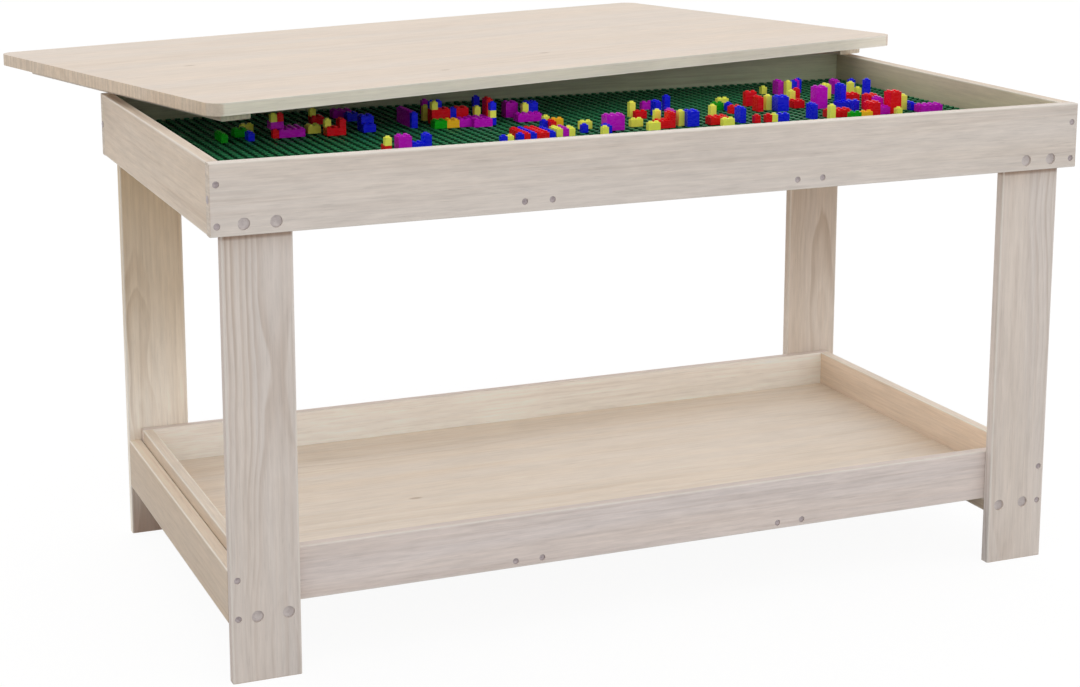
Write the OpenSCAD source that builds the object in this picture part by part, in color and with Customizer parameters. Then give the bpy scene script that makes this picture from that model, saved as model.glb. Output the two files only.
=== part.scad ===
// Play table with a studded building well, a loose lid and a storage tray.
// Origin: centre of the top frame's outline, on the floor. X along the front, Y to the back, Z up.

/* [Play well] */
// Side of one square studded plate
plate_w = 254; // [160:1:300]
// Plates along the table
plate_cols = 4; // [2:1:5]
// Plates from front to back
plate_rows = 2; // [1:1:3]
// Thickness of a plate without its studs
plate_t = 3; // [2:0.5:5]
// Gap between the plates and the frame boards
plate_gap = 1; // [0.5:0.5:3]
// Studs along one side of a plate
plate_studs = 22; // [10:1:24]
// Diameter of a stud
stud_d = 6.8; // [5:0.1:8]
// Height of a stud above its plate
stud_h = 2.6; // [1.5:0.1:4]
// Depth of the plates' face below the frame's top edge
well_depth = 37; // [34:1:60]

/* [Top frame] */
// Height of the table without its lid
table_h = 562; // [480:1:700]
// Thickness of the frame boards
frame_board_t = 14; // [12:0.5:25]
// Height of the frame boards
frame_board_h = 76; // [72:1:120]
// Thickness of the board under the plates
base_t = 15; // [9:1:18]
// Thickness of the bearers and supports that lie flat
support_t = 15; // [12:1:20]
// Width of a cross bearer
bearer_w = 60; // [45:1:90]
// Distance of a cross bearer's middle from the table's middle
bearer_x = 165; // [80:5:220]
// Radius of the eased long edges of every board
ease_r = 1.5; // [0.5:0.5:2.5]

/* [Legs and rails] */
// Width of a leg, seen from the front
leg_w = 76; // [70:1:110]
// Thickness of a leg
leg_t = 13; // [11:0.5:25]
// Height of a side rail's lower edge above the floor
rail_z = 63; // [40:1:150]
// Height of a side rail
rail_h = 60; // [45:1:90]
// Thickness of a side rail
rail_t = 15; // [12:0.5:22]

/* [Storage tray] */
// Height of the tray boards
tray_board_h = 60; // [45:1:120]
// Thickness of the tray boards
tray_board_t = 13; // [11:0.5:20]
// Clearance between the tray and the legs and rails
tray_gap = 0.5; // [0.2:0.1:2]
// Thickness of the tray's bearers
tray_bearer_t = 11; // [9:1:16]
// Thickness of the tray's floor panel
tray_floor_t = 4; // [3:0.5:9]
// Depth of the groove that holds the floor panel
groove_depth = 5; // [3:0.5:7]

/* [Lid] */
// Thickness of the lid panel
lid_t = 14.5; // [12:0.5:22]
// Overhang of the closed lid at each end of the frame
lid_end_overhang = 15; // [8:1:40]
// Overhang of the closed lid at the front and at the back
lid_side_overhang = 20; // [8:1:40]
// Radius of the lid's corners
lid_corner_r = 20; // [5:1:60]
// Width of a cleat
cleat_w = 38; // [25:1:60]
// Thickness of a cleat
cleat_t = 12; // [8:1:18]
// Clearance between the cleats and the well when the lid is closed
cleat_gap = 1.5; // [0.5:0.5:4]
// Turn of the lid where it lies, seen from above, in degrees
lid_turn = 14.6; // [0:0.1:30]
// Place of the lid's middle along the table
lid_x = -16; // [-60:1:60]
// Distance of the lid's middle behind the frame's back face
lid_behind = 93; // [-100:1:110]

/* [Fasteners] */
// Diameter of a wood screw's head
screw_head_d = 7; // [6:0.5:9]
// Diameter of a wood screw's shank
screw_d = 3.5; // [3:0.5:4.5]
// Depth of a screw head below the face it is driven into
screw_sink = 1.2; // [0:0.1:1.5]
// Distance between the screws of a pair
screw_pair = 32; // [20:1:40]
// Diameter of a leg bolt's head
bolt_head_d = 13; // [11:0.5:16]
// Thickness of a leg bolt's head
bolt_head_t = 3; // [2:0.5:5]
// Diameter of a leg bolt's shank
bolt_d = 6; // [5:0.5:8]
// Depth of a bolt head below the face it is driven into
bolt_sink = 2.4; // [0:0.1:3]
// Distance between the bolts of a pair
bolt_pair = 34; // [25:1:40]
// Diameter of the round screw head in a long frame board's end
end_head_d = 8.5; // [7:0.5:11]
// Height of that head above the board's end
end_head_t = 1.3; // [0.8:0.1:3]
// Clearance around every fastener in its hole
hole_gap = 0.1; // [0.05:0.05:0.3]

/* [Bricks] */
// Height of a toy brick without its studs
brick_h = 9; // [8:0.1:12]
// Studs of the bricks along one side of a plate
brick_places = 32; // [28:1:36]
// Diameter of a stud on a brick
brick_stud_d = 4.9; // [4:0.1:5.4]
// Height of a stud on a brick
brick_stud_h = 1.7; // [1:0.1:2.4]
// Gap between neighbouring bricks
brick_gap = 0.3; // [0.1:0.1:0.6]
// Thickness of a brick's top
brick_top_t = 1.5; // [1:0.1:2.5]
// Clearance between a brick's wall and the studs of the brick under it
brick_grip = 0.1; // [0.05:0.05:0.3]

/* [Hidden] */

left = -1;
right = 1;
front = -1;
back = 1;
sides = [-1, 1];
round_fn = 32;

stone = "#c8bdb3";
sand = "#dccdb9";
plate_green = "#0b4a34";

// The well holds the plates, and the frame boards stand round it
well_l = plate_cols * plate_w + 2 * plate_gap;
well_w = plate_rows * plate_w + 2 * plate_gap;
frame_l = well_l + 2 * frame_board_t;
frame_w = well_w + 2 * frame_board_t;
frame_z = table_h - frame_board_h;
plate_top = table_h - well_depth;
base_top = plate_top - plate_t;
base_z = base_top - base_t;
support_z = base_z - support_t;
stud_root = brick_top_t / 2;

// Loose bricks lie on the plates' studs, and grip the bricks under them
brick_pitch = plate_w / brick_places;
brick_z = plate_top + stud_h;

// Legs stand inside the frame boards and carry the base board
leg_x = well_l / 2 - leg_w / 2;
leg_y = well_w / 2 - leg_t;
between_legs = 2 * leg_y;
rail_x = well_l / 2 - rail_t / 2;

// The tray sits on its supports, between the rails and the legs
tray_z = rail_z + support_t;
tray_l = well_l - 2 * rail_t - 2 * tray_gap;
tray_w = between_legs - 2 * tray_gap;
tray_inner_l = tray_l - 2 * tray_board_t;
tray_inner_w = tray_w - 2 * tray_board_t;
tray_floor_z = tray_z + tray_bearer_t;
tray_side_x = tray_l / 2 - tray_board_t / 2;
floor_play = 0.2;

// The lid lies on its cleats across the frame
lid_l = frame_l + 2 * lid_end_overhang;
lid_w = frame_w + 2 * lid_side_overhang;
lid_z = table_h + cleat_t;
lid_y = frame_w / 2 + lid_behind;
cleat_l = well_w - 2 * cleat_gap;
cleat_x = well_l / 2 - cleat_gap - cleat_w / 2;

// Fastener lengths, and how far their holes lie from the edges of the boards
long_screw = 40;
end_screw = 25;
lid_screw = 20;
frame_bolt = 55;
tray_bolt = 45;
frame_corner_low = 11;
frame_corner_high = 22;
bearer_screw_h = 5.5;
frame_bolt_h = 6;
tray_bolt_h = 9;
tray_bearer_drop = 3.5;
rail_screw_inset = 8.5;
tray_corner_low = 6;
tray_corner_high = 16;
base_screw_inset = 65;
seat_screw_inset = 90;
lid_screw_inset = 40;

// A hole passes the face it opens in and the fastener's tip; a flat head has a rim and a dimple
hole_over = 1;
head_rim = 0.4;
dimple = 0.8;

// Fastener places
corner_xs = [for (s = sides) s * (frame_l - frame_board_t) / 2];
corner_zs = [frame_z + frame_corner_low, table_h - frame_corner_high];
bearer_xs = [for (b = sides, s = sides) b * bearer_x + s * screw_pair / 2];
base_bearer_screw_z = support_z + bearer_screw_h;
frame_bolt_z = support_z + frame_bolt_h;
tray_bolt_z = rail_z + tray_bolt_h;
tray_bearer_screw_z = tray_floor_z - tray_bearer_drop;
rail_zs = [rail_z + rail_screw_inset, rail_z + rail_h - rail_screw_inset];
tray_corner_zs = [tray_z + tray_corner_low, tray_z + tray_board_h - tray_corner_high];
base_screw_y = well_w / 2 - base_screw_inset;
seat_screw_y = between_legs / 2 - seat_screw_inset;
lid_screw_y = cleat_l / 2 - lid_screw_inset;

function frame_bolt_xs(side) = [for (s = sides) side * leg_x + s * bolt_pair / 2];
function tray_bolt_xs(side) =
    [for (s = sides) side * (well_l / 2 - (rail_t + leg_w) / 2) + s * bolt_pair / 2];

// Bricks: [first place from the left, first place from the front, layer, studs along X, along Y]
red_bricks = [
    [18, 39, 0, 1, 1], [27, 49, 0, 2, 2], [26, 38, 0, 3, 2], [28, 38, 1, 1, 2], [19, 40, 2, 1, 1],
    [29, 20, 0, 1, 2], [44, 42, 0, 3, 2], [44, 42, 1, 3, 2], [48, 42, 0, 2, 2], [48, 42, 1, 2, 2],
    [53, 42, 0, 1, 2], [53, 42, 1, 1, 2], [53, 42, 2, 1, 2], [51, 22, 0, 1, 6], [53, 22, 0, 2, 6],
    [59, 31, 0, 1, 2], [75, 35, 0, 2, 1], [74, 25, 0, 3, 2], [76, 25, 1, 1, 2], [83, 25, 0, 3, 2],
    [91, 34, 0, 2, 1], [90, 24, 0, 1, 1], [92, 24, 0, 1, 1], [96, 34, 0, 1, 2], [96, 34, 1, 1, 2],
    [97, 40, 0, 2, 1], [97, 40, 1, 2, 1], [103, 35, 0, 2, 2], [106, 40, 0, 1, 1], [106, 40, 1, 1, 1],
    [103, 24, 0, 4, 2], [109, 22, 0, 2, 2], [109, 22, 1, 2, 2], [114, 38, 0, 3, 2], [113, 29, 0, 2, 2],
    [113, 29, 1, 2, 2], [114, 24, 0, 2, 2], [114, 24, 1, 2, 2], [114, 24, 2, 2, 2]
];
blue_bricks = [
    [14, 38, 0, 1, 2], [32, 39, 0, 2, 3], [32, 40, 1, 2, 2], [33, 50, 0, 2, 2], [33, 20, 0, 3, 2],
    [35, 20, 1, 1, 2], [40, 40, 0, 1, 1], [40, 40, 1, 1, 1], [44, 43, 2, 2, 1], [47, 42, 0, 1, 1],
    [47, 42, 1, 1, 1], [52, 38, 0, 1, 1], [52, 38, 2, 1, 1], [52, 45, 0, 1, 1], [52, 45, 1, 1, 1],
    [52, 45, 2, 1, 1], [60, 43, 0, 2, 2], [60, 43, 1, 2, 2], [47, 21, 0, 1, 1], [50, 22, 0, 1, 1],
    [52, 22, 0, 1, 6], [55, 22, 0, 1, 5], [62, 26, 0, 1, 1], [58, 32, 0, 1, 1], [65, 24, 0, 1, 2],
    [79, 36, 0, 1, 2], [79, 36, 1, 1, 2], [83, 41, 0, 1, 1], [83, 41, 1, 1, 1], [79, 25, 0, 2, 2],
    [79, 25, 1, 2, 2], [92, 37, 0, 1, 1], [88, 25, 0, 1, 2], [88, 25, 1, 1, 2], [94, 24, 0, 2, 1],
    [99, 33, 0, 2, 2], [99, 33, 1, 2, 2], [110, 48, 0, 1, 1], [110, 48, 1, 1, 1], [112, 50, 0, 1, 1],
    [112, 50, 1, 1, 1], [100, 24, 0, 1, 2], [100, 24, 1, 1, 2], [109, 31, 0, 3, 2], [111, 34, 0, 1, 2],
    [111, 34, 1, 1, 2], [111, 34, 2, 1, 2], [120, 46, 0, 1, 1], [120, 46, 1, 1, 1], [118, 38, 0, 1, 1],
    [118, 38, 1, 1, 1], [118, 38, 2, 1, 1], [108, 25, 0, 1, 1], [108, 25, 1, 1, 1], [118, 29, 0, 1, 1],
    [119, 26, 0, 1, 2]
];
yellow_bricks = [
    [15, 46, 0, 2, 1], [18, 40, 2, 1, 1], [24, 41, 0, 2, 2], [27, 50, 1, 1, 1], [26, 39, 1, 1, 1],
    [29, 20, 1, 1, 1], [44, 46, 0, 1, 1], [44, 46, 1, 1, 1], [44, 42, 2, 1, 1], [52, 38, 1, 1, 1],
    [51, 42, 0, 1, 1], [51, 42, 1, 1, 1], [59, 42, 0, 1, 1], [59, 42, 1, 1, 1], [48, 21, 0, 1, 1],
    [57, 24, 0, 1, 3], [59, 24, 0, 1, 2], [63, 29, 0, 2, 1], [60, 36, 0, 1, 1], [64, 23, 0, 1, 1],
    [71, 28, 0, 2, 1], [75, 37, 0, 1, 1], [75, 37, 1, 1, 1], [75, 28, 0, 1, 1], [75, 28, 1, 1, 1],
    [72, 24, 0, 2, 1], [78, 26, 0, 1, 1], [78, 26, 1, 1, 1], [85, 29, 0, 1, 1], [85, 29, 1, 1, 1],
    [84, 23, 0, 2, 1], [93, 42, 0, 2, 1], [93, 24, 0, 1, 1], [106, 51, 0, 1, 1], [98, 35, 0, 1, 1],
    [98, 35, 1, 1, 1], [104, 38, 0, 1, 1], [104, 38, 1, 1, 1], [109, 48, 0, 1, 1], [109, 48, 1, 1, 1],
    [102, 22, 0, 1, 1], [102, 22, 1, 1, 1], [113, 42, 0, 1, 2], [113, 42, 1, 1, 2], [118, 43, 0, 1, 1],
    [118, 43, 1, 1, 1], [120, 44, 0, 1, 1], [112, 27, 0, 1, 1], [114, 22, 0, 1, 1], [118, 27, 0, 1, 1],
    [118, 27, 1, 1, 1]
];
purple_bricks = [
    [19, 39, 0, 4, 2], [19, 41, 0, 4, 2], [18, 40, 1, 2, 2], [32, 54, 0, 3, 2], [31, 20, 0, 2, 2],
    [31, 20, 1, 2, 2], [40, 41, 0, 1, 6], [40, 41, 1, 1, 6], [47, 38, 0, 2, 2], [57, 44, 0, 2, 2],
    [57, 44, 1, 2, 2], [46, 52, 0, 1, 1], [46, 52, 1, 1, 1], [49, 37, 0, 3, 4], [58, 24, 0, 1, 3],
    [57, 39, 0, 4, 2], [66, 26, 0, 3, 2], [66, 26, 1, 3, 2], [80, 43, 0, 2, 1], [77, 27, 0, 1, 2],
    [77, 27, 1, 1, 2], [108, 49, 0, 1, 2], [108, 49, 1, 1, 2], [111, 49, 0, 1, 1], [111, 49, 1, 1, 1],
    [106, 33, 0, 2, 2], [106, 33, 1, 2, 2], [106, 33, 2, 2, 2], [117, 46, 0, 1, 2], [117, 46, 1, 1, 2],
    [111, 24, 0, 3, 2], [113, 26, 0, 1, 2], [113, 26, 1, 1, 2], [119, 23, 0, 4, 2]
];
green_bricks = [
    [10, 38, 0, 1, 4], [13, 42, 0, 2, 2], [43, 38, 0, 2, 2], [90, 38, 0, 2, 1], [105, 21, 0, 2, 1]
];
amber_bricks = [[45, 38, 0, 2, 2], [60, 33, 0, 2, 1], [107, 21, 0, 2, 1]];

// ---- shapes that repeat ----

module rounded_rect(w, h, r) {
    translate([r, 0]) square([w - 2 * r, h]);
    translate([0, r]) square([w, h - 2 * r]);
    for (x = [r, w - r], y = [r, h - r])
        translate([x, y]) circle(r = r, $fn = round_fn);
}

// A board with eased long edges, centred on X and Y, standing on z = 0
module board_along_x(l, t, h) {
    translate([-l / 2, -t / 2, 0]) rotate([90, 0, 90]) linear_extrude(l) rounded_rect(t, h, ease_r);
}

module board_along_y(l, t, h) {
    translate([-t / 2, l / 2, 0]) rotate([90, 0, 0]) linear_extrude(l) rounded_rect(t, h, ease_r);
}

module board_upright(w, t, h) {
    translate([-w / 2, -t / 2, 0]) linear_extrude(h) rounded_rect(w, t, ease_r);
}

// A flat panel with square edges and corners of radius r
module panel(l, w, t, r) {
    translate([-l / 2, -w / 2, 0]) linear_extrude(t) rounded_rect(l, w, r);
}

// A wood screw that points along +Z, its head's rim at z = 0
module wood_screw(l) {
    head_r = screw_head_d / 2;
    shank_r = screw_d / 2;
    rotate_extrude($fn = round_fn)
        polygon([
            [0, dimple], [head_r / 2, 0], [head_r, 0], [head_r, head_rim],
            [shank_r, head_r - shank_r + head_rim], [shank_r, l - screw_d], [0, l]
        ]);
}

// The countersunk hole of a wood screw whose head's rim is at z = 0, open above it
module screw_hole(l) {
    head_r = screw_head_d / 2 + hole_gap;
    shank_r = screw_d / 2 + hole_gap;
    rotate_extrude($fn = round_fn)
        polygon([
            [0, -screw_sink - hole_over], [head_r, -screw_sink - hole_over], [head_r, head_rim],
            [shank_r, head_r - shank_r + head_rim], [shank_r, l + hole_over], [0, l + hole_over]
        ]);
}

// A screw with a low domed head that stands on the face at z = 0
module domed_screw(l) {
    head_r = end_head_d / 2;
    shank_r = screw_d / 2;
    rotate_extrude($fn = round_fn)
        polygon([
            [0, -end_head_t], [head_r * 0.5, -end_head_t * 0.9], [head_r * 0.85, -end_head_t * 0.6],
            [head_r, -end_head_t * 0.2], [head_r, 0], [shank_r, 0], [shank_r, l - screw_d], [0, l]
        ]);
}

module plain_hole(l) {
    translate([0, 0, -hole_over])
        cylinder(d = screw_d + 2 * hole_gap, h = l + 2 * hole_over, $fn = round_fn);
}

// A leg bolt that points along +Z, its head's rim at z = 0, with a dished face
module leg_bolt(l) {
    head_r = bolt_head_d / 2;
    shank_r = bolt_d / 2;
    dish = bolt_head_t / 3;
    rotate_extrude($fn = round_fn)
        polygon([
            [0, dish], [head_r * 0.45, dish * 0.8], [head_r * 0.85, 0], [head_r, 0],
            [head_r, bolt_head_t], [shank_r, bolt_head_t], [shank_r, l - shank_r], [0, l]
        ]);
}

module bolt_hole(l) {
    translate([0, 0, -bolt_sink - hole_over])
        cylinder(
            d = bolt_head_d + 2 * hole_gap, h = bolt_sink + hole_over + bolt_head_t, $fn = round_fn
        );
    cylinder(d = bolt_d + 2 * hole_gap, h = l + hole_over, $fn = round_fn);
}

// Children point into the wood from the front (side -1) or from the back (side 1), at distance y
module into_face(side, y, xs, zs) {
    for (x = xs, z = zs)
        translate([x, side * y, z]) rotate([side * 90, 0, 0]) children();
}

// ---- places of the fasteners, each used by the fasteners and by their holes ----

module frame_corner_places(side) {
    into_face(side, frame_w / 2 - screw_sink, corner_xs, corner_zs) children();
}

module frame_end_places(side, end) {
    translate([end * frame_l / 2, side * (frame_w - frame_board_t) / 2, frame_z + frame_board_h / 2])
        rotate([0, -end * 90, 0]) children();
}

module base_bearer_places(side) {
    into_face(side, frame_w / 2 - screw_sink, bearer_xs, [base_bearer_screw_z]) children();
}

module frame_bolt_places(side, end) {
    into_face(side, frame_w / 2 - bolt_sink, frame_bolt_xs(end), [frame_bolt_z]) children();
}

module tray_bolt_places(side, end) {
    into_face(side, well_w / 2 - bolt_sink, tray_bolt_xs(end), [tray_bolt_z]) children();
}

module rail_screw_places(side, end) {
    into_face(side, well_w / 2 - screw_sink, [end * rail_x], rail_zs) children();
}

module tray_corner_places(side, end) {
    into_face(side, tray_w / 2 - screw_sink, [end * tray_side_x], tray_corner_zs) children();
}

module tray_bearer_places(side) {
    into_face(side, tray_w / 2 - screw_sink, bearer_xs, [tray_bearer_screw_z]) children();
}

module base_board_places() {
    for (x = [-leg_x, -bearer_x, bearer_x, leg_x], y = [-base_screw_y, base_screw_y])
        translate([x, y, base_top - screw_sink]) mirror([0, 0, 1]) children();
}

module tray_seat_places(end) {
    for (y = [-seat_screw_y, seat_screw_y])
        translate([end * tray_side_x, y, rail_z + screw_sink]) children();
}

module lid_screw_places(end) {
    for (y = [-lid_screw_y, 0, lid_screw_y])
        translate([end * cleat_x, y, screw_sink - cleat_t]) children();
}

// ---- top frame ----

module frame_long_board(side) {
    color(stone) difference() {
        translate([0, side * (frame_w - frame_board_t) / 2, frame_z])
            board_along_x(frame_l, frame_board_t, frame_board_h);
        frame_corner_places(side) screw_hole(long_screw);
        for (end = sides) frame_end_places(side, end) plain_hole(end_screw);
        base_bearer_places(side) screw_hole(long_screw);
        for (end = sides) frame_bolt_places(side, end) bolt_hole(frame_bolt);
    }
}

module frame_end_board(end) {
    color(sand) difference() {
        translate([end * (frame_l - frame_board_t) / 2, 0, frame_z])
            board_along_y(well_w, frame_board_t, frame_board_h);
        for (side = sides) frame_corner_places(side) screw_hole(long_screw);
    }
}

module base_board() {
    color(sand) difference() {
        translate([0, 0, base_z])
            panel(well_l - 2 * plate_gap, well_w - 2 * plate_gap, base_t, ease_r);
        base_board_places() screw_hole(base_t + support_t);
    }
}

module base_bearer(end) {
    color(sand) difference() {
        translate([end * bearer_x, 0, support_z]) board_along_y(well_w, bearer_w, support_t);
        for (side = sides) base_bearer_places(side) screw_hole(long_screw);
        base_board_places() screw_hole(base_t + support_t);
    }
}

module base_support(end) {
    color(sand) difference() {
        translate([end * leg_x, 0, support_z]) board_along_y(between_legs, leg_w, support_t);
        for (side = sides) frame_bolt_places(side, end) bolt_hole(frame_bolt);
        base_board_places() screw_hole(base_t + support_t);
    }
}

module stud_plate(index) {
    col = (index - 1) % plate_cols;
    row = floor((index - 1) / plate_cols);
    color(plate_green)
        translate([(col - plate_cols / 2) * plate_w, (row - plate_rows / 2) * plate_w, base_top])
        union() {
            cube([plate_w, plate_w, plate_t]);
            translate([0, 0, plate_t])
                studs(plate_studs, plate_studs, plate_w / plate_studs, stud_d, stud_h);
        }
}

// A grid of studs that stand on z = 0 and reach into what carries them
module studs(nx, ny, pitch, d, h) {
    for (i = [0 : nx - 1], j = [0 : ny - 1])
        translate([(i + 0.5) * pitch, (j + 0.5) * pitch, -stud_root])
            cylinder(d = d, h = h + stud_root, $fn = round_fn);
}

// ---- legs and rails ----

module leg(side, end) {
    color(stone) difference() {
        translate([end * leg_x, side * (well_w - leg_t) / 2, 0]) board_upright(leg_w, leg_t, base_z);
        frame_bolt_places(side, end) bolt_hole(frame_bolt);
        tray_bolt_places(side, end) bolt_hole(tray_bolt);
        rail_screw_places(side, end) screw_hole(long_screw);
    }
}

module side_rail(end) {
    color(sand) difference() {
        translate([end * rail_x, 0, rail_z]) board_along_y(between_legs, rail_t, rail_h);
        for (side = sides) rail_screw_places(side, end) screw_hole(long_screw);
    }
}

module tray_support(end) {
    width = leg_w - rail_t;
    color(sand) difference() {
        translate([end * (well_l / 2 - rail_t - width / 2), 0, rail_z])
            board_along_y(between_legs, width, support_t);
        for (side = sides) tray_bolt_places(side, end) bolt_hole(tray_bolt);
        tray_seat_places(end) screw_hole(long_screw);
    }
}

// ---- storage tray ----

// The floor panel with room for play, which is cut from the tray boards as their groove
module floor_groove() {
    size = [tray_inner_l + 2 * groove_depth, tray_inner_w + 2 * groove_depth, tray_floor_t + floor_play];
    translate([-size[0] / 2, -size[1] / 2, tray_floor_z]) cube(size);
}

module tray_long_board(side) {
    color(stone) difference() {
        translate([0, side * (tray_w - tray_board_t) / 2, tray_z])
            board_along_x(tray_l, tray_board_t, tray_board_h);
        floor_groove();
        tray_bearer_places(side) screw_hole(long_screw);
        for (end = sides) tray_corner_places(side, end) screw_hole(long_screw);
    }
}

module tray_end_board(end) {
    color(sand) difference() {
        translate([end * tray_side_x, 0, tray_z])
            board_along_y(tray_inner_w, tray_board_t, tray_board_h);
        floor_groove();
        for (side = sides) tray_corner_places(side, end) screw_hole(long_screw);
        tray_seat_places(end) screw_hole(long_screw);
    }
}

module tray_floor() {
    reach = groove_depth - floor_play;
    color(sand) translate([0, 0, tray_floor_z])
        panel(tray_inner_l + 2 * reach, tray_inner_w + 2 * reach, tray_floor_t, ease_r);
}

module tray_bearer(end) {
    color(sand) difference() {
        translate([end * bearer_x, 0, tray_z]) board_along_y(tray_inner_w, bearer_w, tray_bearer_t);
        for (side = sides) tray_bearer_places(side) screw_hole(long_screw);
    }
}

// ---- lid ----

module on_lid() {
    translate([lid_x, lid_y, lid_z]) rotate(lid_turn) children();
}

module lid_panel() {
    color(sand) on_lid() difference() {
        panel(lid_l, lid_w, lid_t, lid_corner_r);
        for (end = sides) lid_screw_places(end) screw_hole(lid_screw);
    }
}

module lid_cleat(end) {
    color(sand) on_lid() difference() {
        translate([end * cleat_x, 0, -cleat_t]) board_along_y(cleat_l, cleat_w, cleat_t);
        lid_screw_places(end) screw_hole(lid_screw);
    }
}

// ---- bricks ----

// A hollow brick that grips the studs of the brick under it
module brick(nx, ny) {
    wall = (brick_pitch - brick_stud_d) / 2 - brick_grip;
    size = [nx * brick_pitch - brick_gap, ny * brick_pitch - brick_gap, brick_h];
    difference() {
        translate([brick_gap / 2, brick_gap / 2, 0]) cube(size);
        translate([wall, wall, -stud_root])
            cube([
                nx * brick_pitch - 2 * wall, ny * brick_pitch - 2 * wall,
                brick_h - brick_top_t + stud_root
            ]);
    }
    translate([0, 0, brick_h]) studs(nx, ny, brick_pitch, brick_stud_d, brick_stud_h);
}

// Every second layer is a part of its own, so bricks of one colour stay apart
module bricks(list, parity) {
    for (b = list) if (b[2] % 2 == parity)
        translate([
            (b[0] - plate_cols * brick_places / 2) * brick_pitch,
            (b[1] - plate_rows * brick_places / 2) * brick_pitch,
            brick_z + b[2] * brick_h
        ]) brick(b[3], b[4]);
}

// ---- fasteners, identical ones together ----

module frame_corner_screws() {
    color("darkgray") for (side = sides) frame_corner_places(side) wood_screw(long_screw);
}

module frame_end_screws() {
    color("darkgray") for (side = sides, end = sides) frame_end_places(side, end) domed_screw(end_screw);
}

module base_bearer_screws() {
    color("darkgray") for (side = sides) base_bearer_places(side) wood_screw(long_screw);
}

module base_board_screws() {
    color("darkgray") base_board_places() wood_screw(base_t + support_t - 2 * screw_sink);
}

module frame_leg_bolts() {
    color("gray") for (side = sides, end = sides) frame_bolt_places(side, end) leg_bolt(frame_bolt);
}

module tray_leg_bolts() {
    color("gray") for (side = sides, end = sides) tray_bolt_places(side, end) leg_bolt(tray_bolt);
}

module rail_screws() {
    color("darkgray") for (side = sides, end = sides) rail_screw_places(side, end) wood_screw(long_screw);
}

module tray_corner_screws() {
    color("darkgray") for (side = sides, end = sides) tray_corner_places(side, end) wood_screw(long_screw);
}

module tray_bearer_screws() {
    color("darkgray") for (side = sides) tray_bearer_places(side) wood_screw(long_screw);
}

module tray_seat_screws() {
    color("darkgray") for (end = sides) tray_seat_places(end) wood_screw(long_screw);
}

module lid_cleat_screws() {
    color("darkgray") on_lid() for (end = sides) lid_screw_places(end) wood_screw(lid_screw);
}

frame_long_board(front);  // frame_front_board
frame_long_board(back);  // frame_back_board
frame_end_board(left);  // frame_left_board
frame_end_board(right);  // frame_right_board
base_board();
base_bearer(left);  // base_bearer_left
base_bearer(right);  // base_bearer_right
base_support(left);  // base_support_left
base_support(right);  // base_support_right
stud_plate(1);  // stud_plate_1
stud_plate(2);  // stud_plate_2
stud_plate(3);  // stud_plate_3
stud_plate(4);  // stud_plate_4
stud_plate(5);  // stud_plate_5
stud_plate(6);  // stud_plate_6
stud_plate(7);  // stud_plate_7
stud_plate(8);  // stud_plate_8
leg(front, left);  // leg_front_left
leg(front, right);  // leg_front_right
leg(back, left);  // leg_back_left
leg(back, right);  // leg_back_right
side_rail(left);  // side_rail_left
side_rail(right);  // side_rail_right
tray_support(left);  // tray_support_left
tray_support(right);  // tray_support_right
tray_long_board(front);  // tray_front_board
tray_long_board(back);  // tray_back_board
tray_end_board(left);  // tray_left_board
tray_end_board(right);  // tray_right_board
tray_floor();
tray_bearer(left);  // tray_bearer_left
tray_bearer(right);  // tray_bearer_right
frame_corner_screws();
frame_end_screws();
base_bearer_screws();
base_board_screws();
frame_leg_bolts();
tray_leg_bolts();
rail_screws();
tray_corner_screws();
tray_bearer_screws();
tray_seat_screws();
lid_panel();
lid_cleat(left);  // lid_cleat_left
lid_cleat(right);  // lid_cleat_right
lid_cleat_screws();
color("#c3121c") bricks(red_bricks, 0);  // bricks_red
color("#1b1fc4") bricks(blue_bricks, 0);  // bricks_blue
color("#dfe04a") bricks(yellow_bricks, 0);  // bricks_yellow
color("#8f159c") bricks(purple_bricks, 0);  // bricks_purple
color("#0d8a1a") bricks(green_bricks, 0);  // bricks_green
color("#e6a93a") bricks(amber_bricks, 0);  // bricks_amber
color("#c3121c") bricks(red_bricks, 1);  // bricks_red_upper
color("#1b1fc4") bricks(blue_bricks, 1);  // bricks_blue_upper
color("#dfe04a") bricks(yellow_bricks, 1);  // bricks_yellow_upper
color("#8f159c") bricks(purple_bricks, 1);  // bricks_purple_upper
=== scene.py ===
"""Looks of a play table with a studded building well, a loose lid and a storage tray.

Metres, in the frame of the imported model: X along the front, Y to the back, Z up."""
import math

import bpy
from mathutils import Matrix, Vector


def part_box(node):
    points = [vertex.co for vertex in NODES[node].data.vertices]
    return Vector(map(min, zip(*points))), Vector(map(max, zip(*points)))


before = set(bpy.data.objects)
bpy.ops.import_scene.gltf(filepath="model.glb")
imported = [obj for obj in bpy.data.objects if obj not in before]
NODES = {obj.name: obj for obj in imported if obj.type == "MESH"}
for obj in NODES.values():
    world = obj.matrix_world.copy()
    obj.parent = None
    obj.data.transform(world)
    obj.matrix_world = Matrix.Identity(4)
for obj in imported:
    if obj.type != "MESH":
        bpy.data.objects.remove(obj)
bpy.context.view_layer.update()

# Heights where tints of the wood start or end
PLATE_TOP = 0.525
TRAY_FLOOR_TOP = 0.093
BOARD_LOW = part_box("frame_front_board")[0].z

# The lid: its middle, its turn seen from above, and the sizes of the panel and of a cleat along
# the grain, across it and through. A cleat's middle lies this far to a side and down.
LID_MIDDLE = Vector((-0.016, 0.362, 0.58125))
LID_TURN = math.radians(14.6)
LID_SIZE = (1.076, 0.578, 0.0145)
CLEAT_SIZE = (0.507, 0.038, 0.012)
CLEAT_OUT, CLEAT_DOWN = 0.4875, 0.01325


# ---- camera ----

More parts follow.
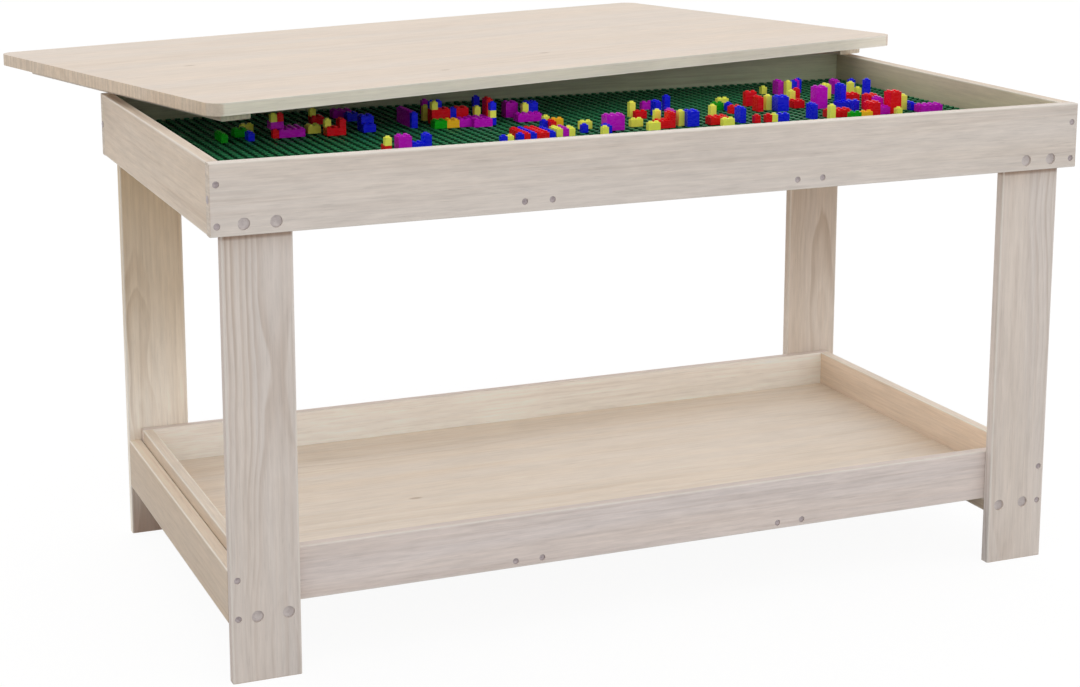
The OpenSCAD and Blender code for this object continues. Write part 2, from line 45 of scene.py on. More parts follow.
# Fitted to the edges of the frame and the legs: angles in radians and, in pixels of the
# photograph's frame, the focal length and the point straight ahead of the camera
PHOTO_W, PHOTO_H = 1080, 687
CAMERA_PLACE = (-1.0220, -2.2991, 0.9302)
YAW, PITCH, ROLL = 0.377546, 0.190405, -0.0037261
FOCAL_PX, CENTRE_PX = 2109.67, (493.59, 193.24)
SENSOR_WIDTH_MM = 36
NEAREST, FARTHEST = 0.05, 50


def make_camera():
    look = Vector((math.sin(YAW) * math.cos(PITCH), math.cos(YAW) * math.cos(PITCH),
                   -math.sin(PITCH)))
    level = Vector((math.cos(YAW), -math.sin(YAW), 0))
    upright = level.cross(look)
    right = level * math.cos(ROLL) + upright * math.sin(ROLL)
    up = upright * math.cos(ROLL) - level * math.sin(ROLL)
    data = bpy.data.cameras.new("camera")
    data.sensor_fit = "HORIZONTAL"
    data.sensor_width = SENSOR_WIDTH_MM
    data.lens = FOCAL_PX * data.sensor_width / PHOTO_W
    data.shift_x = (PHOTO_W / 2 - CENTRE_PX[0]) / PHOTO_W
    data.shift_y = (CENTRE_PX[1] - PHOTO_H / 2) / PHOTO_W
    data.clip_start, data.clip_end = NEAREST, FARTHEST
    camera = bpy.data.objects.new("camera", data)
    bpy.context.scene.collection.objects.link(camera)
    turn = Matrix((right, up, -look)).transposed().to_4x4()
    camera.matrix_world = Matrix.Translation(CAMERA_PLACE) @ turn
    bpy.context.scene.camera = camera


# ---- shader helpers ----

class Shader:
    """The nodes of a material or of the world. An input is a socket or a plain value, and every
    method but node, split and finish returns one output socket."""

    def __init__(self, owner):
        self.owner = owner
        owner.use_nodes = True
        self.tree = owner.node_tree
        self.tree.nodes.clear()
        self.coords = self.node("ShaderNodeTexCoord").outputs

    def node(self, kind, inputs=(), **settings):
        made = self.tree.nodes.new(kind)
        for key, value in settings.items():
            setattr(made, key, value)
        for key, value in dict(inputs).items():
            if isinstance(value, bpy.types.NodeSocket):
                self.tree.links.new(value, made.inputs[key])
            else:
                made.inputs[key].default_value = value
        return made

    def math(self, operation, a, b=0.0, c=0.0):
        return self.node("ShaderNodeMath", {0: a, 1: b, 2: c}, operation=operation).outputs[0]

    def swing(self, noise, amount, middle):
        """The middle, moved up and down by a noise that lies round a half."""
        return self.math("MULTIPLY_ADD", self.math("SUBTRACT", noise, 0.5), amount, middle)

    def vector(self, operation, a, b=(0, 0, 0)):
        made = self.node("ShaderNodeVectorMath", {0: a, 1: b}, operation=operation)
        return made.outputs["Value" if operation == "LENGTH" else "Vector"]

    def split(self, vector):
        return self.node("ShaderNodeSeparateXYZ", {0: vector}).outputs

    def join(self, x, y, z):
        return self.node("ShaderNodeCombineXYZ", {0: x, 1: y, 2: z}).outputs[0]

    def noise(self, vector, scale=1.0, detail=2.0, roughness=0.5, distortion=0.0):
        return self.node("ShaderNodeTexNoise", {
            "Vector": vector, "Scale": scale, "Detail": detail, "Roughness": roughness,
            "Distortion": distortion,
        }).outputs["Fac"]

    def layer(self, vector, stretch, detail=2.0, roughness=0.5, distortion=0.0):
        """Noise that changes faster along an axis, the larger its stretch is."""
        return self.noise(self.vector("MULTIPLY", vector, stretch), 1.0, detail, roughness,
                          distortion)

    def remap(self, value, lo, hi, to_lo=0.0, to_hi=1.0, smooth=True):
        return self.node("ShaderNodeMapRange", {
            "Value": value, "From Min": lo, "From Max": hi, "To Min": to_lo, "To Max": to_hi,
        }, interpolation_type="SMOOTHSTEP" if smooth else "LINEAR").outputs["Result"]

    def near_faces(self, place, width, band):
        """1 on the two faces at the ends of a width, and 0 from band[0] inwards."""
        return self.remap(self.math("ABSOLUTE", place), width / 2 - band[0], width / 2 - band[1])

    def mix(self, amount, a, b, blend="MIX"):
        return self.node("ShaderNodeMix", {0: amount, 6: a, 7: b},
                         data_type="RGBA", blend_type=blend).outputs[2]

    def stain(self, color, tint, amount=1.0):
        """The colour multiplied by a tint, as far as the amount says."""
        return self.mix(amount, color, tint, "MULTIPLY")

    def shade(self, color, tone):
        return self.stain(color, self.join(tone, tone, tone))

    def ramp(self, value, stops):
        made = self.node("ShaderNodeValToRGB", {0: value})
        ramp = made.color_ramp
        ramp.interpolation = "EASE"
        while len(ramp.elements) < len(stops):
            ramp.elements.new(0.5)
        for element, (place, level) in zip(ramp.elements, stops):
            element.position = place
            element.color = (level, level, level, 1)
        return made.outputs["Color"]

    def bump(self, height, strength, distance):
        return self.node("ShaderNodeBump", {
            "Height": height, "Strength": strength, "Distance": distance,
        }).outputs["Normal"]

    def seen(self):
        """1 where the camera looks, also through a reflection, and 0 for light on the object."""
        path = self.node("ShaderNodeLightPath").outputs
        through = self.math("MAXIMUM", path["Is Glossy Ray"], path["Is Transmission Ray"])
        return self.math("MAXIMUM", path["Is Camera Ray"], through)

    def finish(self, color, roughness, normal, **uniform):
        """The material, with the values in uniform the same all over it."""
        inputs = {"Base Color": color, "Roughness": roughness, "Normal": normal}
        inputs.update({key.replace("_", " "): value for key, value in uniform.items()})
        surface = self.node("ShaderNodeBsdfPrincipled", inputs)
        self.node("ShaderNodeOutputMaterial", {"Surface": surface.outputs[0]})
        return self.owner


def material_shader(name):
    return Shader(bpy.data.materials.new(name))


def srgb(r, g, b):
    """A colour given as it looks on screen, 0 to 255, as linear values."""
    channels = [c / 255 for c in (r, g, b)]
    return [c / 12.92 if c <= 0.04045 else ((c + 0.055) / 1.055) ** 2.4 for c in channels] + [1]


def scaled(color, factors):
    """A colour with its red, green and blue multiplied."""
    return [c * factor for c, factor in zip(color, factors)] + [1]


def dress(node, material):
    data = NODES[node].data
    data.materials.clear()
    data.materials.append(material)


# ---- wood ----

# Layers of noise in a board: stretch along the grain, across the board and through it, then
# detail, roughness and distortion where they aren't the plain ones
RAGGED = ((10, 90, 90),)
PATCHES = ((2.0, 15, 15),)
THIN_LINES = ((5, 240, 240), 3.0, 0.55)
THICK_LINES = ((2.4, 95, 95),)
CROWDS = ((1.3, 26, 26), 1.5)
STREAKS = ((24, 230, 230), 3.0, 0.62)
FIBRES = ((9, 620, 620), 3.0, 0.6)
PORES = ((46, 1100, 1100), 1.0)
BROAD_BANDS = ((0.9, 17, 17), 2.5, 0.55)
WASH = ((6, 24, 24), 3.0, 0.6, 0.4)
CELLS = ((3, 230, 24),)
# The same for layers over the growth rings, where one unit along is a year
YEAR_WIDTHS = ((0.35, 1, 1), 1.0)
YEAR_DEPTHS = ((0.8, 1, 1), 1.0)
# The noise that a layer starts at, and the noise where it is full
PATCH_CUT, DEPTH_CUT = (0.36, 0.68), (0.35, 0.65)
THIN_CUT, THICK_CUT, CROWD_CUT = (0.46, 0.72), (0.50, 0.74), (0.34, 0.66)
PORE_CUT, BROAD_CUT, CELL_CUT = (0.60, 0.74), (0.34, 0.66), (0.38, 0.62)

# How dark the wood gets through one year: share of the year, darkness
RING_PROFILE = ((0, 0.0), (0.35, 0.3), (0.68, 0.9), (0.80, 1.0), (1, 0.0))
# How ragged a ring is, in metres, how many years its width may stray, and how its darkness varies
RING_RAGGED, RING_STRAY = 0.0032, 2.0
PATCH_RANGE, DEPTH_RANGE = (0.12, 1.0), (0.25, 1.25)
# Shares of the two kinds of long lines, and what is left of them between their crowds
THIN_SHARE, THICK_SHARE, CROWD_RANGE = 0.6, 0.55, (0.25, 1.0)

# Knots: width over length, how far rings swell round one and by how much, both in its radii,
# where its spot is full and where it ends, in radii too, and how strong the spot is
KNOT_SQUEEZE = 0.4
KNOT_REACH, KNOT_SWELL = 5, 1.6
SPOT_FULL, SPOT_END, SPOT_STRENGTH = 0.35, 1.15, 0.55

# How far each layer lightens and darkens the colour; the streaks' share grows with the lines
STREAK_TONE, STREAK_TONE_BY_LINES = 0.10, 0.52
FIBRE_TONE, WASH_TONE, PORE_TONE = 0.17, 0.19, -0.08

# Factors on a board's colour, or on its late wood for the knots, and on its sawn ends' tint
WARM, COOL = (1.02, 0.985, 0.94), (0.975, 0.99, 1.015)
KNOT_CORE = (0.62, 0.55, 0.48)
PALE_CELL, DARK_CELL, SAWN_RINGS = (1.05, 1.05, 1.05), (0.90, 0.90, 0.90), 0.5

# Where a tint of a face, the wear and painted highlight of a long edge and the painted shade below
# another board begin and are full, in metres from the face, the edge or the board
FACE_BAND = (0.0012, 0.0002)
INNER_BAND = (0.002, 0.0005)
INNER_RISE = (0.004, 0.002)
EDGE_BAND = (0.0028, 0.0004)
CONTACT_SHADE_BAND = (0.0085, 0.0045)
CONTACT_SHADE_TINT = (0.66, 0.56, 0.50, 1)
EDGE_COLOR, EDGE_WEAR_AND_HIGHLIGHT = srgb(242, 236, 227), 0.55
PALEST = (0.97, 0.97, 0.97, 1)

WOOD_ROUGHNESS, WOOD_ROUGHNESS_SWING, WOOD_SPECULAR = 0.6, 0.22, 0.3
FIBRE_HEIGHT, LINE_HEIGHT, PORE_HEIGHT = 0.55, -0.4, -0.8
# Strength and depth in metres
WOOD_BUMP = (0.2, 0.0005)


def ring_radius(s, domain, place, size, pith, tilt, wobble, wander):
    """Distance from the pith, which wanders beside the board and comes nearer along it."""
    along, across, through = s.split(place)
    drift = s.node("ShaderNodeTexNoise", {
        "Vector": s.vector("MULTIPLY", domain, (wander, 1.0, 1.0)), "Scale": 1.0, "Detail": 1.0,
    }).outputs["Color"]
    drift_y, drift_z = s.split(s.vector("SUBTRACT", drift, (0.5, 0.5, 0.5)))[1:]
    y = s.math("MULTIPLY_ADD", drift_y, wobble, s.math("SUBTRACT", across, pith[0] * size[1]))
    z = s.math("MULTIPLY_ADD", drift_z, wobble, s.math("ADD", through, pith[1]))
    z = s.math("MULTIPLY_ADD", along, tilt, z)
    radius = s.vector("LENGTH", s.join(0.0, y, z))
    return s.swing(s.layer(domain, *RAGGED), RING_RAGGED, radius)


def add_knots(s, place, knots, radius):
    """The radius, swollen round each knot, and a spot for each."""
    along, across = s.split(place)[:2]
    spots = []
    for knot_x, knot_y, knot_r in knots:
        dx = s.math("MULTIPLY", s.math("SUBTRACT", along, knot_x), KNOT_SQUEEZE)
        dy = s.math("SUBTRACT", across, knot_y)
        far = s.vector("LENGTH", s.join(dx, dy, 0.0))
        swell = s.remap(far, 0, knot_r * KNOT_REACH, knot_r * KNOT_SWELL, 0)
        radius = s.math("ADD", radius, swell)
        spots.append(s.remap(far, knot_r * SPOT_FULL, knot_r * SPOT_END, 1, 0))
    return radius, spots


def growth_rings(s, domain, radius, ring, seed):
    """Late wood by the radius. No two years are alike: width and darkness wander with it."""
    years = s.join(s.math("DIVIDE", radius, ring), seed * 7.3, 0.0)
    widths = s.layer(years, *YEAR_WIDTHS)
    depths = s.layer(years, *YEAR_DEPTHS)
    phase = s.math("MULTIPLY_ADD", widths, RING_STRAY, s.math("DIVIDE", radius, ring))
    rings = s.ramp(s.math("FRACT", phase), RING_PROFILE)
    patches = s.layer(domain, *PATCHES)
    rings = s.math("MULTIPLY", rings, s.remap(patches, *PATCH_CUT, *PATCH_RANGE))
    return s.math("MULTIPLY", rings, s.remap(depths, *DEPTH_CUT, *DEPTH_RANGE))


def long_lines(s, domain):
    """Late wood cut lengthwise: long thin lines that come and go, denser in some bands."""
    thin = s.remap(s.layer(domain, *THIN_LINES), *THIN_CUT)
    thick = s.remap(s.layer(domain, *THICK_LINES), *THICK_CUT)
    drawn = s.math("ADD", s.math("MULTIPLY", thin, THIN_SHARE),
                   s.math("MULTIPLY", thick, THICK_SHARE))
    crowds = s.remap(s.layer(domain, *CROWDS), *CROWD_CUT, *CROWD_RANGE)
    return s.math("MULTIPLY", drawn, crowds)


def wood(name, frame_of, size, seed, tint, late, lines=0.5, arcs=0.3, ring=0.007,
         pith=(0.2, 0.2), tilt=0.006, wobble=0.014, wander=2.2, bands=0.5, knots=(),
         ends=(0.88, 0.84, 0.78, 1), narrow=None, inner=None, dim=None, under=None):
    """Washed pine.

    frame_of(shader) gives the place on the board from its middle: x along the grain, y across
    its width, z through its thickness. size is the board's size in that order. seed sets which
    piece of the endless wood the board is. tint is its colour and late that of its late wood.
    lines, arcs, bands: how strong the long lines, the rings and the warmer bands are.
    ring, pith, tilt: a year's width, the pith's place beside the board (a share of the width
    across, and metres through) and how much nearer it comes along the board.
    wobble, wander: how far the pith strays, and how soon.
    knots: place along and across, and radius, of each.
    ends, narrow: tints of the sawn ends and of the edge faces. The narrow tints are painted light
    and shade, and end tints above 1 are painted light.
    inner: painted light and shade on one face above a level: sign of the face, level, rise, tint
    low, tint high.
    dim: painted shade towards the top of a leg: height where it starts, height where it is full,
    tint.
    under: painted shade below another board, darkest right under it: the board's height, depth,
    tint."""
    s = material_shader(name)
    place = frame_of(s)
    along, across, through = s.split(place)
    height_up = s.split(s.coords["Object"])[2]
    # Seeds that follow each other land far apart in the noise
    shift = (seed * 3.17 % 11, seed * 1.73 % 7, seed * 0.91 % 5)
    domain = s.vector("ADD", place, shift)

    radius = ring_radius(s, domain, place, size, pith, tilt, wobble, wander)
    radius, spots = add_knots(s, place, knots, radius)
    rings = growth_rings(s, domain, radius, ring, seed)
    drawn = long_lines(s, domain)
    fibres = s.layer(domain, *FIBRES)
    pores = s.remap(s.layer(domain, *PORES), *PORE_CUT)
    wash = s.layer(domain, *WASH)

    broad = s.remap(s.layer(domain, *BROAD_BANDS), *BROAD_CUT, 0.5 - bands, 0.5 + bands)
    color = s.mix(broad, scaled(tint, COOL), scaled(tint, WARM))
    color = s.mix(s.math("MULTIPLY", rings, arcs), color, late)
    color = s.mix(s.math("MULTIPLY", drawn, lines), color, late)
    tone = s.swing(s.layer(domain, *STREAKS), STREAK_TONE_BY_LINES * lines + STREAK_TONE, 1.0)
    tone = s.swing(fibres, FIBRE_TONE, tone)
    tone = s.swing(wash, WASH_TONE, tone)
    tone = s.math("MULTIPLY_ADD", pores, PORE_TONE, tone)
    color = s.shade(color, tone)
    for spot in spots:
        color = s.mix(s.math("MULTIPLY", spot, SPOT_STRENGTH), color, scaled(late, KNOT_CORE))

    # On the sawn ends the rings and the cells stand out
    cells = s.remap(s.layer(domain, *CELLS), *CELL_CUT)
    marks = s.math("MAXIMUM", s.math("MULTIPLY", rings, SAWN_RINGS), cells)
    sawn = s.mix(marks, scaled(ends, PALE_CELL), scaled(ends, DARK_CELL))
    color = s.stain(color, sawn, s.near_faces(along, size[0], FACE_BAND))
    # Painted light and shade on the edge faces
    if narrow:
        color = s.stain(color, narrow, s.near_faces(across, size[1], FACE_BAND))
    # Painted light and shade on one face: green light bounced from the plates in the well, light
    # in the tray, shade on the back legs' feet
    if inner:
        sign, level, rise, tint_low, tint_high = inner
        facing = s.remap(s.math("MULTIPLY", through, sign),
                         size[2] / 2 - INNER_BAND[0], size[2] / 2 - INNER_BAND[1])
        above = s.remap(height_up, level - INNER_RISE[0], level - INNER_RISE[1])
        tints = s.mix(s.remap(height_up, level, level + rise), tint_low, tint_high)
        color = s.stain(color, tints, s.math("MULTIPLY", facing, above))
    # Painted shade towards the top of a back leg
    if dim:
        start, full, dim_shade_tint = dim
        color = s.stain(color, dim_shade_tint, s.remap(height_up, start, full))
    # Painted shade below another board: soft over the depth, and a dark band right under it
    if under:
        level, depth, soft_tint = under
        color = s.stain(color, soft_tint, s.remap(height_up, level - depth, level))
        contact_shade = s.remap(height_up, level - CONTACT_SHADE_BAND[0], level - CONTACT_SHADE_BAND[1])
        color = s.stain(color, CONTACT_SHADE_TINT, contact_shade)

    # The wash is worn thin and pale along the long edges, with painted highlight there too
    edge = s.math("MULTIPLY", s.near_faces(across, size[1], EDGE_BAND),
                  s.near_faces(through, size[2], EDGE_BAND))
    color = s.mix(s.math("MULTIPLY", edge, EDGE_WEAR_AND_HIGHLIGHT), color, EDGE_COLOR)
    color = s.mix(1.0, color, PALEST, "DARKEN")

    height = s.math("MULTIPLY_ADD", drawn, LINE_HEIGHT, s.math("MULTIPLY", pores, PORE_HEIGHT))
    height = s.math("MULTIPLY_ADD", fibres, FIBRE_HEIGHT, height)
    roughness = s.swing(wash, WOOD_ROUGHNESS_SWING, WOOD_ROUGHNESS)
    normal = s.bump(height, *WOOD_BUMP)
    return s.finish(color, roughness, normal, Specular_IOR_Level=WOOD_SPECULAR)


def board_frame(node):
    """The place on a straight board: its longest side is the grain, its shortest the thickness."""
    lo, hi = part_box(node)
    size = hi - lo
    order = sorted(range(3), key=lambda axis: -size[axis])
    middle = tuple((lo + hi) / 2)

    def frame_of(s):
        parts = s.split(s.vector("SUBTRACT", s.coords["Object"], middle))
        return s.join(*(parts[axis] for axis in order))

    return frame_of, [size[axis] for axis in order]


def lid_frame(order, offset=(0, 0, 0)):
    """The place on the lid or a cleat, turned back to lie square. order gives the lid's axes
    that run along the grain, across it and through."""
    def frame_of(s):
        moved = s.vector("SUBTRACT", s.coords["Object"], tuple(LID_MIDDLE))
        turned = s.node("ShaderNodeVectorRotate", {
            "Vector": moved, "Axis": (0, 0, 1), "Angle": -LID_TURN,
        }, rotation_type="AXIS_ANGLE").outputs[0]
        parts = s.split(s.vector("SUBTRACT", turned, offset))
        return s.join(*(parts[axis] for axis in order))

    return frame_of


# Tints by board: screen colours of the washed wood and of its late wood. Some carry painted light
# and shade: the side boards and the tray's supports are darker, and the back-left leg and the tray
# floor paler, than the wood would be.
FRONT = (srgb(225, 215, 206), srgb(186, 168, 153))
SIDE = (srgb(216, 199, 180), srgb(178, 153, 130))
RAIL = (srgb(206, 188, 168), srgb(170, 147, 124))
LEG = (srgb(226, 216, 208), srgb(184, 164, 148))
BACK_LEFT_LEG = (srgb(253, 245, 233), srgb(201, 180, 157))
BACK_LEG = (srgb(225, 214, 203), srgb(184, 163, 143))
TRAY = (srgb(230, 219, 214), srgb(190, 171, 158))
LIT_TRAY_FLOOR = (srgb(249, 239, 227), srgb(216, 196, 171))
LID = (srgb(221, 207, 193), srgb(205, 184, 165))
SHADED_SUPPORT = (srgb(198, 182, 162), srgb(154, 131, 107))
HIDDEN = (srgb(232, 220, 203), srgb(192, 168, 140))

# The well's inner faces: painted green light bounced from the plates, most on the back board under
# the lid
WELL_RISE, TRAY_RISE = 0.036, 0.05
WELL_BACK_GREEN_BOUNCE = (-1, PLATE_TOP, WELL_RISE, (0.84, 1.02, 0.76, 1), (0.94, 1.03, 0.87, 1))
WELL_SIDES_GREEN_BOUNCE = (PLATE_TOP, WELL_RISE, (0.84, 0.93, 0.78, 1), (0.96, 0.98, 0.92, 1))
# The tray's inner faces: painted light, as pale as its floor
TRAY_BACK_LIT = (-1, TRAY_FLOOR_TOP, TRAY_RISE, (1.24, 1.34, 1.32, 1), (1.28, 1.38, 1.38, 1))
TRAY_SIDES_LIT = (TRAY_FLOOR_TOP, TRAY_RISE, (1.38, 1.40, 1.44, 1), (1.46, 1.49, 1.54, 1))

# Settings that boards share. All legs get painted shade below the frame's boards; the back legs'
# feet get painted shade, as under the tray, and their tops more, as under the well. The rails' and
# the tray's side boards' narrow tints are painted light.
LONG_SIDE = dict(lines=0.5, arcs=0.14, bands=0.22)
SHORT_SIDE = dict(lines=0.45, arcs=0.2, bands=0.3)
SIDE_RAIL = dict(lines=0.40, bands=0.25, narrow=(1.58, 1.70, 1.84, 1))
TRAY_SIDE = dict(lines=0.36, bands=0.25, narrow=(1.42, 1.56, 1.74, 1))
FRONT_LEG = dict(lines=0.30, arcs=0.48, ring=0.0052, wobble=0.0245, wander=5.0, bands=0.3,
                 under=(BOARD_LOW, 0.03, (0.97, 0.95, 0.93, 1)))
REAR_LEG = dict(lines=0.32, arcs=0.50, ring=0.0044, wobble=0.0245, wander=5.0, bands=0.3,
                tilt=0.022, under=(BOARD_LOW, 0.15, (0.93, 0.87, 0.76, 1)))
FOOT_LOW, UNTINTED = -0.01, (1, 1, 1, 1)

BOARDS = {
    # node: (colours, seed, further settings)
    "frame_front_board": (FRONT, 1, LONG_SIDE),
    "frame_back_board": (FRONT, 2, dict(LONG_SIDE, inner=WELL_BACK_GREEN_BOUNCE)),
    "frame_left_board": (SIDE, 3, dict(SHORT_SIDE, inner=(1, *WELL_SIDES_GREEN_BOUNCE))),
    "frame_right_board": (SIDE, 4, dict(SHORT_SIDE, inner=(-1, *WELL_SIDES_GREEN_BOUNCE))),
    # Painted shade on the front-left leg's side faces and painted light on the front-right leg's
    "leg_front_left": (LEG, 5, dict(
        FRONT_LEG, pith=(0.22, 0.040), tilt=0.026, narrow=(0.81, 0.78, 0.77, 1))),
    "leg_front_right": (LEG, 6, dict(
        FRONT_LEG, pith=(-0.15, 0.045), tilt=-0.026, narrow=(1.05, 1.08, 1.13, 1))),
    "leg_back_left": (BACK_LEFT_LEG, 7, dict(
        REAR_LEG, pith=(-0.25, 0.045),
        inner=(-1, FOOT_LOW, 0.13, (0.55, 0.44, 0.40, 1), UNTINTED),
        dim=(BOARD_LOW - 0.33, BOARD_LOW - 0.15, (0.72, 0.66, 0.58, 1)))),
    "leg_back_right": (BACK_LEG, 8, dict(
        REAR_LEG, pith=(0.20, 0.042),
        inner=(-1, FOOT_LOW, 0.10, (0.62, 0.52, 0.49, 1), UNTINTED),
        dim=(BOARD_LOW - 0.33, BOARD_LOW - 0.08, (0.745, 0.69, 0.64, 1)))),
    "side_rail_left": (RAIL, 9, SIDE_RAIL),
    "side_rail_right": (RAIL, 10, SIDE_RAIL),
    "tray_front_board": (TRAY, 11, dict(lines=0.55, arcs=0.14, bands=0.25)),
    "tray_back_board": (TRAY, 12, dict(lines=0.36, arcs=0.16, bands=0.25, inner=TRAY_BACK_LIT)),
    "tray_left_board": (RAIL, 13, dict(TRAY_SIDE, inner=(1, *TRAY_SIDES_LIT))),
    "tray_right_board": (RAIL, 14, dict(TRAY_SIDE, inner=(-1, *TRAY_SIDES_LIT))),
    "tray_floor": (LIT_TRAY_FLOOR, 15, dict(
        lines=0.30, arcs=0.22, ring=0.013, pith=(0.12, 0.16), wobble=0.056, bands=0.25,
        knots=((-0.22, -0.02, 0.004), (-0.36, 0.06, 0.0035)))),
    "base_board": (HIDDEN, 16, dict(arcs=0.35, ring=0.012, wobble=0.056)),
    "base_bearer_left": (HIDDEN, 17, {}),
    "base_bearer_right": (HIDDEN, 18, {}),
    "base_support_left": (HIDDEN, 19, {}),
    "base_support_right": (HIDDEN, 20, {}),
    "tray_support_left": (SHADED_SUPPORT, 21, {}),
    "tray_support_right": (SHADED_SUPPORT, 22, {}),
    "tray_bearer_left": (HIDDEN, 23, {}),
    "tray_bearer_right": (HIDDEN, 24, {}),
}


def make_wood():
    for node, (colors, seed, settings) in BOARDS.items():
        frame_of, size = board_frame(node)
        dress(node, wood(f"washed_{node}", frame_of, size, seed, *colors, **settings))
    # The lid's narrow tint is painted light on its front and back edges
    dress("lid_panel", wood(
        "washed_lid", lid_frame((0, 1, 2)), LID_SIZE, 31, *LID, lines=0.26, arcs=0.20,
        ring=0.016, pith=(0.35, 0.16), tilt=0.015, wobble=0.084, bands=0.22,
        narrow=(1.15, 1.27, 1.30, 1), ends=(0.98, 0.93, 0.85, 1),
        knots=((-0.40, 0.02, 0.004), (-0.17, -0.21, 0.0035), (0.03, -0.15, 0.004))))
    # The cleats' end tint is painted light on their ends
    for node, side, seed in (("lid_cleat_left", -1, 32), ("lid_cleat_right", 1, 33)):
        frame_of = lid_frame((1, 0, 2), (side * CLEAT_OUT, 0, -CLEAT_DOWN))
        dress(node, wood(f"washed_{node}", frame_of, CLEAT_SIZE, seed, *SIDE, lines=0.40,
                         ends=(1.38, 1.50, 1.54, 1)))


# ---- plastic and metal ----

# Scale of the clouds and how far they change the colour, the scuffs' stretch, the noise they
# start at and where they are full, and the orange-peel's scale and bump
CLOUD_SCALE, CLOUD_TONE = 28, 0.16
SCUFFS, SCUFF_CUT = ((140, 900, 420), 3.0), (0.45, 0.75)
PEEL_SCALE, PEEL_BUMP = 900, (0.08, 0.0002)
# Roughness, what the scuffs add to it, and specular level
PLATE_GLOSS, BRICK_GLOSS = (0.42, 0.2, 0.25), (0.26, 0.25, 0.3)

# The plate's green, and the paler green of painted light on the studs' upper parts
PLATE_GREEN, STUD_LIT_GREEN = srgb(10, 52, 28), srgb(44, 132, 84)
# Heights above the plate where the painted light on the studs begins, and where it is full
STUD_LIT_FROM, STUD_LIT_TO = 0.0004, 0.0026
BRICKS = {
    "red": srgb(234, 12, 28), "blue": srgb(16, 28, 236), "yellow": srgb(250, 252, 98),
    "purple": srgb(200, 10, 200), "green": srgb(8, 168, 18), "amber": srgb(255, 196, 34),
}


def plastic(name, base, gloss, lit_studs=None):
    """Moulded plastic: slight clouding of the colour, fine scuffs in the gloss, a soft
    orange-peel. The optional heights and colour paint light on what stands above them: (height
    low, height high, colour from there up)."""
    s = material_shader(name)
    roughness, wear, specular = gloss
    position = s.coords["Object"]
    # Painted light: paler with height, lit stud tops over the darker plate between them
    if lit_studs:
        low, high, lit_color = lit_studs
        height = s.remap(s.split(position)[2], low, high, smooth=False)
        base = s.mix(height, base, lit_color)
    color = s.shade(base, s.swing(s.noise(position, CLOUD_SCALE), CLOUD_TONE, 1.0))
    scuffs = s.remap(s.layer(position, *SCUFFS), *SCUFF_CUT)
    rough = s.math("MULTIPLY_ADD", scuffs, wear, roughness)
    peel = s.noise(position, PEEL_SCALE, detail=1.0)
    return s.finish(color, rough, s.bump(peel, *PEEL_BUMP), Specular_IOR_Level=specular)


def make_plastic():
    plate = plastic("moulded_plate", PLATE_GREEN, PLATE_GLOSS,
                    lit_studs=(PLATE_TOP + STUD_LIT_FROM, PLATE_TOP + STUD_LIT_TO, STUD_LIT_GREEN))
    bricks = {name: plastic(f"brick_{name}", base, BRICK_GLOSS) for name, base in BRICKS.items()}
    for node in NODES:
        if node.startswith("stud_plate_"):
            dress(node, plate)
        elif node.startswith("bricks_"):
            dress(node, bricks[node.split("_")[1]])


# Scales of the clouds and of the specks on the screw and bolt heads
HEAD_CLOUDS, HEAD_SPECKS = 160, 900
DARK_SPECK = srgb(146, 134, 134)


def steel(name, pale, dull):
    """Heads washed over with the wood: matt, pale and slightly violet, darker in fine specks."""
    s = material_shader(name)
    clouds = s.noise(s.coords["Object"], HEAD_CLOUDS)
    specks = s.noise(s.coords["Object"], HEAD_SPECKS)
    color = s.mix(s.remap(clouds, 0.35, 0.7), pale, dull)
    color = s.mix(s.remap(specks, 0.6, 0.8, 0, 0.4), color, DARK_SPECK)
    rough = s.remap(clouds, 0.3, 0.7, 0.42, 0.58)
    return s.finish(color, rough, s.bump(specks, 0.12, 0.0002), Metallic=0.15)


def make_fasteners():
    bolts = steel("washed_bolt", srgb(208, 199, 196), srgb(194, 184, 182))
    screws = steel("washed_screw", srgb(190, 179, 180), srgb(170, 158, 160))
    for node in NODES:
        if node.endswith("_bolts"):
            dress(node, bolts)
        elif node.endswith("_screws"):
            dress(node, screws)


# ---- edges ----

LID_EDGE_ROUND = 0.0012
# Edges sharper than this get a round, so the rounded corners of the lid stay as they are
SHARP = math.radians(40)


def ease_lid():
    """Small rounds on the lid's sharp edges, which the light catches."""
    bevel = NODES["lid_panel"].modifiers.new("eased", "BEVEL")
    bevel.width = LID_EDGE_ROUND
    bevel.segments = 3
    bevel.limit_method = "ANGLE"
    bevel.angle_limit = SHARP
    bevel.use_clamp_overlap = True


# ---- floor, backdrop and light ----

FLOOR_SIZE = 24
# What the camera sees of the floor is part glow and part lit floor, which together come to
# white, and the shadow is what the lit part lacks
FLOOR_GREY = (0.55, 0.55, 0.55, 1)
FLOOR_GLOW, GLOW_SHARE = 1.105, 0.84

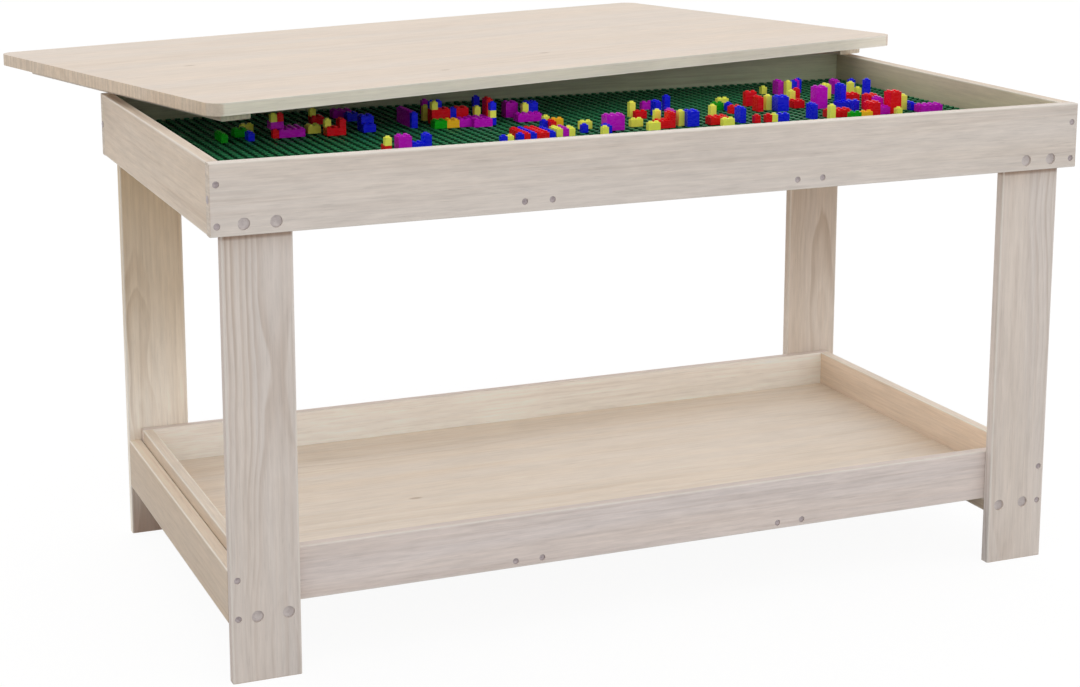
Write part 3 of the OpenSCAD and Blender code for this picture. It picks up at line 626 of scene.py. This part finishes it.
# Pale low sky and darker zenith, as in a white room whose walls are lit more than its ceiling,
# with the most light from behind and a little more from the right
LOW_SKY, HIGH_SKY = 1.50, 0.58
LOW_TOP, HIGH_FROM = 0.42, 0.80
FROM_BEHIND, FROM_RIGHT = 0.32, 0.22
WHITE = (1, 1, 1, 1)

# name, place, diameter, power
LAMPS = (
    ("key", Vector((0.4, -1.7, 3.4)), 2.4, 7),
    ("top", Vector((0.2, 0.6, 3.6)), 3.0, 6),
)
LAMP_TARGET = Vector((0, 0.1, 0.4))


def make_floor():
    bpy.ops.mesh.primitive_plane_add(size=FLOOR_SIZE, location=(0, 0, 0))
    floor = bpy.context.object
    floor.name = "floor"
    s = material_shader("floor_white")
    matt = s.node("ShaderNodeBsdfDiffuse", {"Color": FLOOR_GREY}).outputs[0]
    glow = s.node("ShaderNodeEmission", {"Color": WHITE, "Strength": FLOOR_GLOW}).outputs[0]
    share = s.math("MULTIPLY", s.seen(), GLOW_SHARE)
    mixed = s.node("ShaderNodeMixShader", {0: share, 1: matt, 2: glow}).outputs[0]
    s.node("ShaderNodeOutputMaterial", {"Surface": mixed})
    floor.data.materials.append(s.owner)


def make_sky():
    world = bpy.data.worlds.new("studio")
    bpy.context.scene.world = world
    s = Shader(world)
    x, y, z = s.split(s.coords["Generated"])
    side = s.math("MULTIPLY_ADD", x, FROM_RIGHT, 1.0)
    side = s.math("MULTIPLY_ADD", y, FROM_BEHIND, side)
    sky = s.math("MULTIPLY", s.remap(z, LOW_TOP, HIGH_FROM, LOW_SKY, HIGH_SKY), side)
    strength = s.remap(s.seen(), 0, 1, sky, 1.0, smooth=False)
    back = s.node("ShaderNodeBackground", {"Color": WHITE, "Strength": strength}).outputs[0]
    s.node("ShaderNodeOutputWorld", {"Surface": back})


def make_lights():
    for name, place, diameter, power in LAMPS:
        data = bpy.data.lights.new(name, "AREA")
        data.shape = "DISK"
        data.size = diameter
        data.energy = power
        light = bpy.data.objects.new(name, data)
        bpy.context.scene.collection.objects.link(light)
        light.location = place
        light.rotation_euler = (LAMP_TARGET - place).to_track_quat("-Z", "Y").to_euler()
        light.visible_camera = False


make_camera()
make_wood()
make_plastic()
make_fasteners()
ease_lid()
make_floor()
make_sky()
make_lights()
bpy.context.scene.view_settings.view_transform = "Standard"
